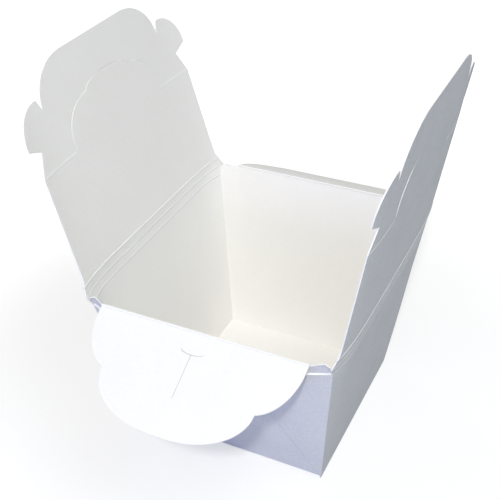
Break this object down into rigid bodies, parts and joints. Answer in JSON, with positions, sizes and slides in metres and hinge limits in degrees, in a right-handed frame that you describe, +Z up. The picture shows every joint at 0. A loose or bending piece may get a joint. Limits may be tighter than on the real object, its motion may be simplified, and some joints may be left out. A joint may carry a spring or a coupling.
{
  "type": "takeout container",
  "caption": "Tapered white paperboard food box with folded gusset corners, cloud-shaped end flaps and long locking lid flaps, standing open.",
  "frame": {"origin": "centre of the underside of the base, on the surface the box stands on", "axes": "+Z up, -Y towards the front flap, +X towards the right flap"},
  "size_m": [0.1663, 0.221, 0.1925],
  "materials": {
    "board": "matte white food board"
  },
  "bodies": {
    "carton": {"carton": "board"},
    "front_flap": {"front_flap": "board"},
    "back_flap": {"back_flap": "board"},
    "left_flap": {"left_flap": "board"},
    "right_flap": {"right_flap": "board"}
  },
  "joints": [
    {"name": "front_flap_fold", "type": "hinge", "parent": "carton", "child": "front_flap", "pos_m": [0, -0.06829, 0.09181], "axis": [1, 0, 0], "range_deg": [-207, 43]},
    {"name": "back_flap_fold", "type": "hinge", "parent": "carton", "child": "back_flap", "pos_m": [0, 0.06829, 0.09181], "axis": [-1, 0, 0], "range_deg": [-208, 42]},
    {"name": "left_flap_fold", "type": "hinge", "parent": "carton", "child": "left_flap", "pos_m": [-0.06301, 0, 0.09598], "axis": [0, -1, 0], "range_deg": [-104, 121]},
    {"name": "right_flap_fold", "type": "hinge", "parent": "carton", "child": "right_flap", "pos_m": [0.06301, 0, 0.09598], "axis": [0, 1, 0], "range_deg": [-97, 125.5]}
  ]
}
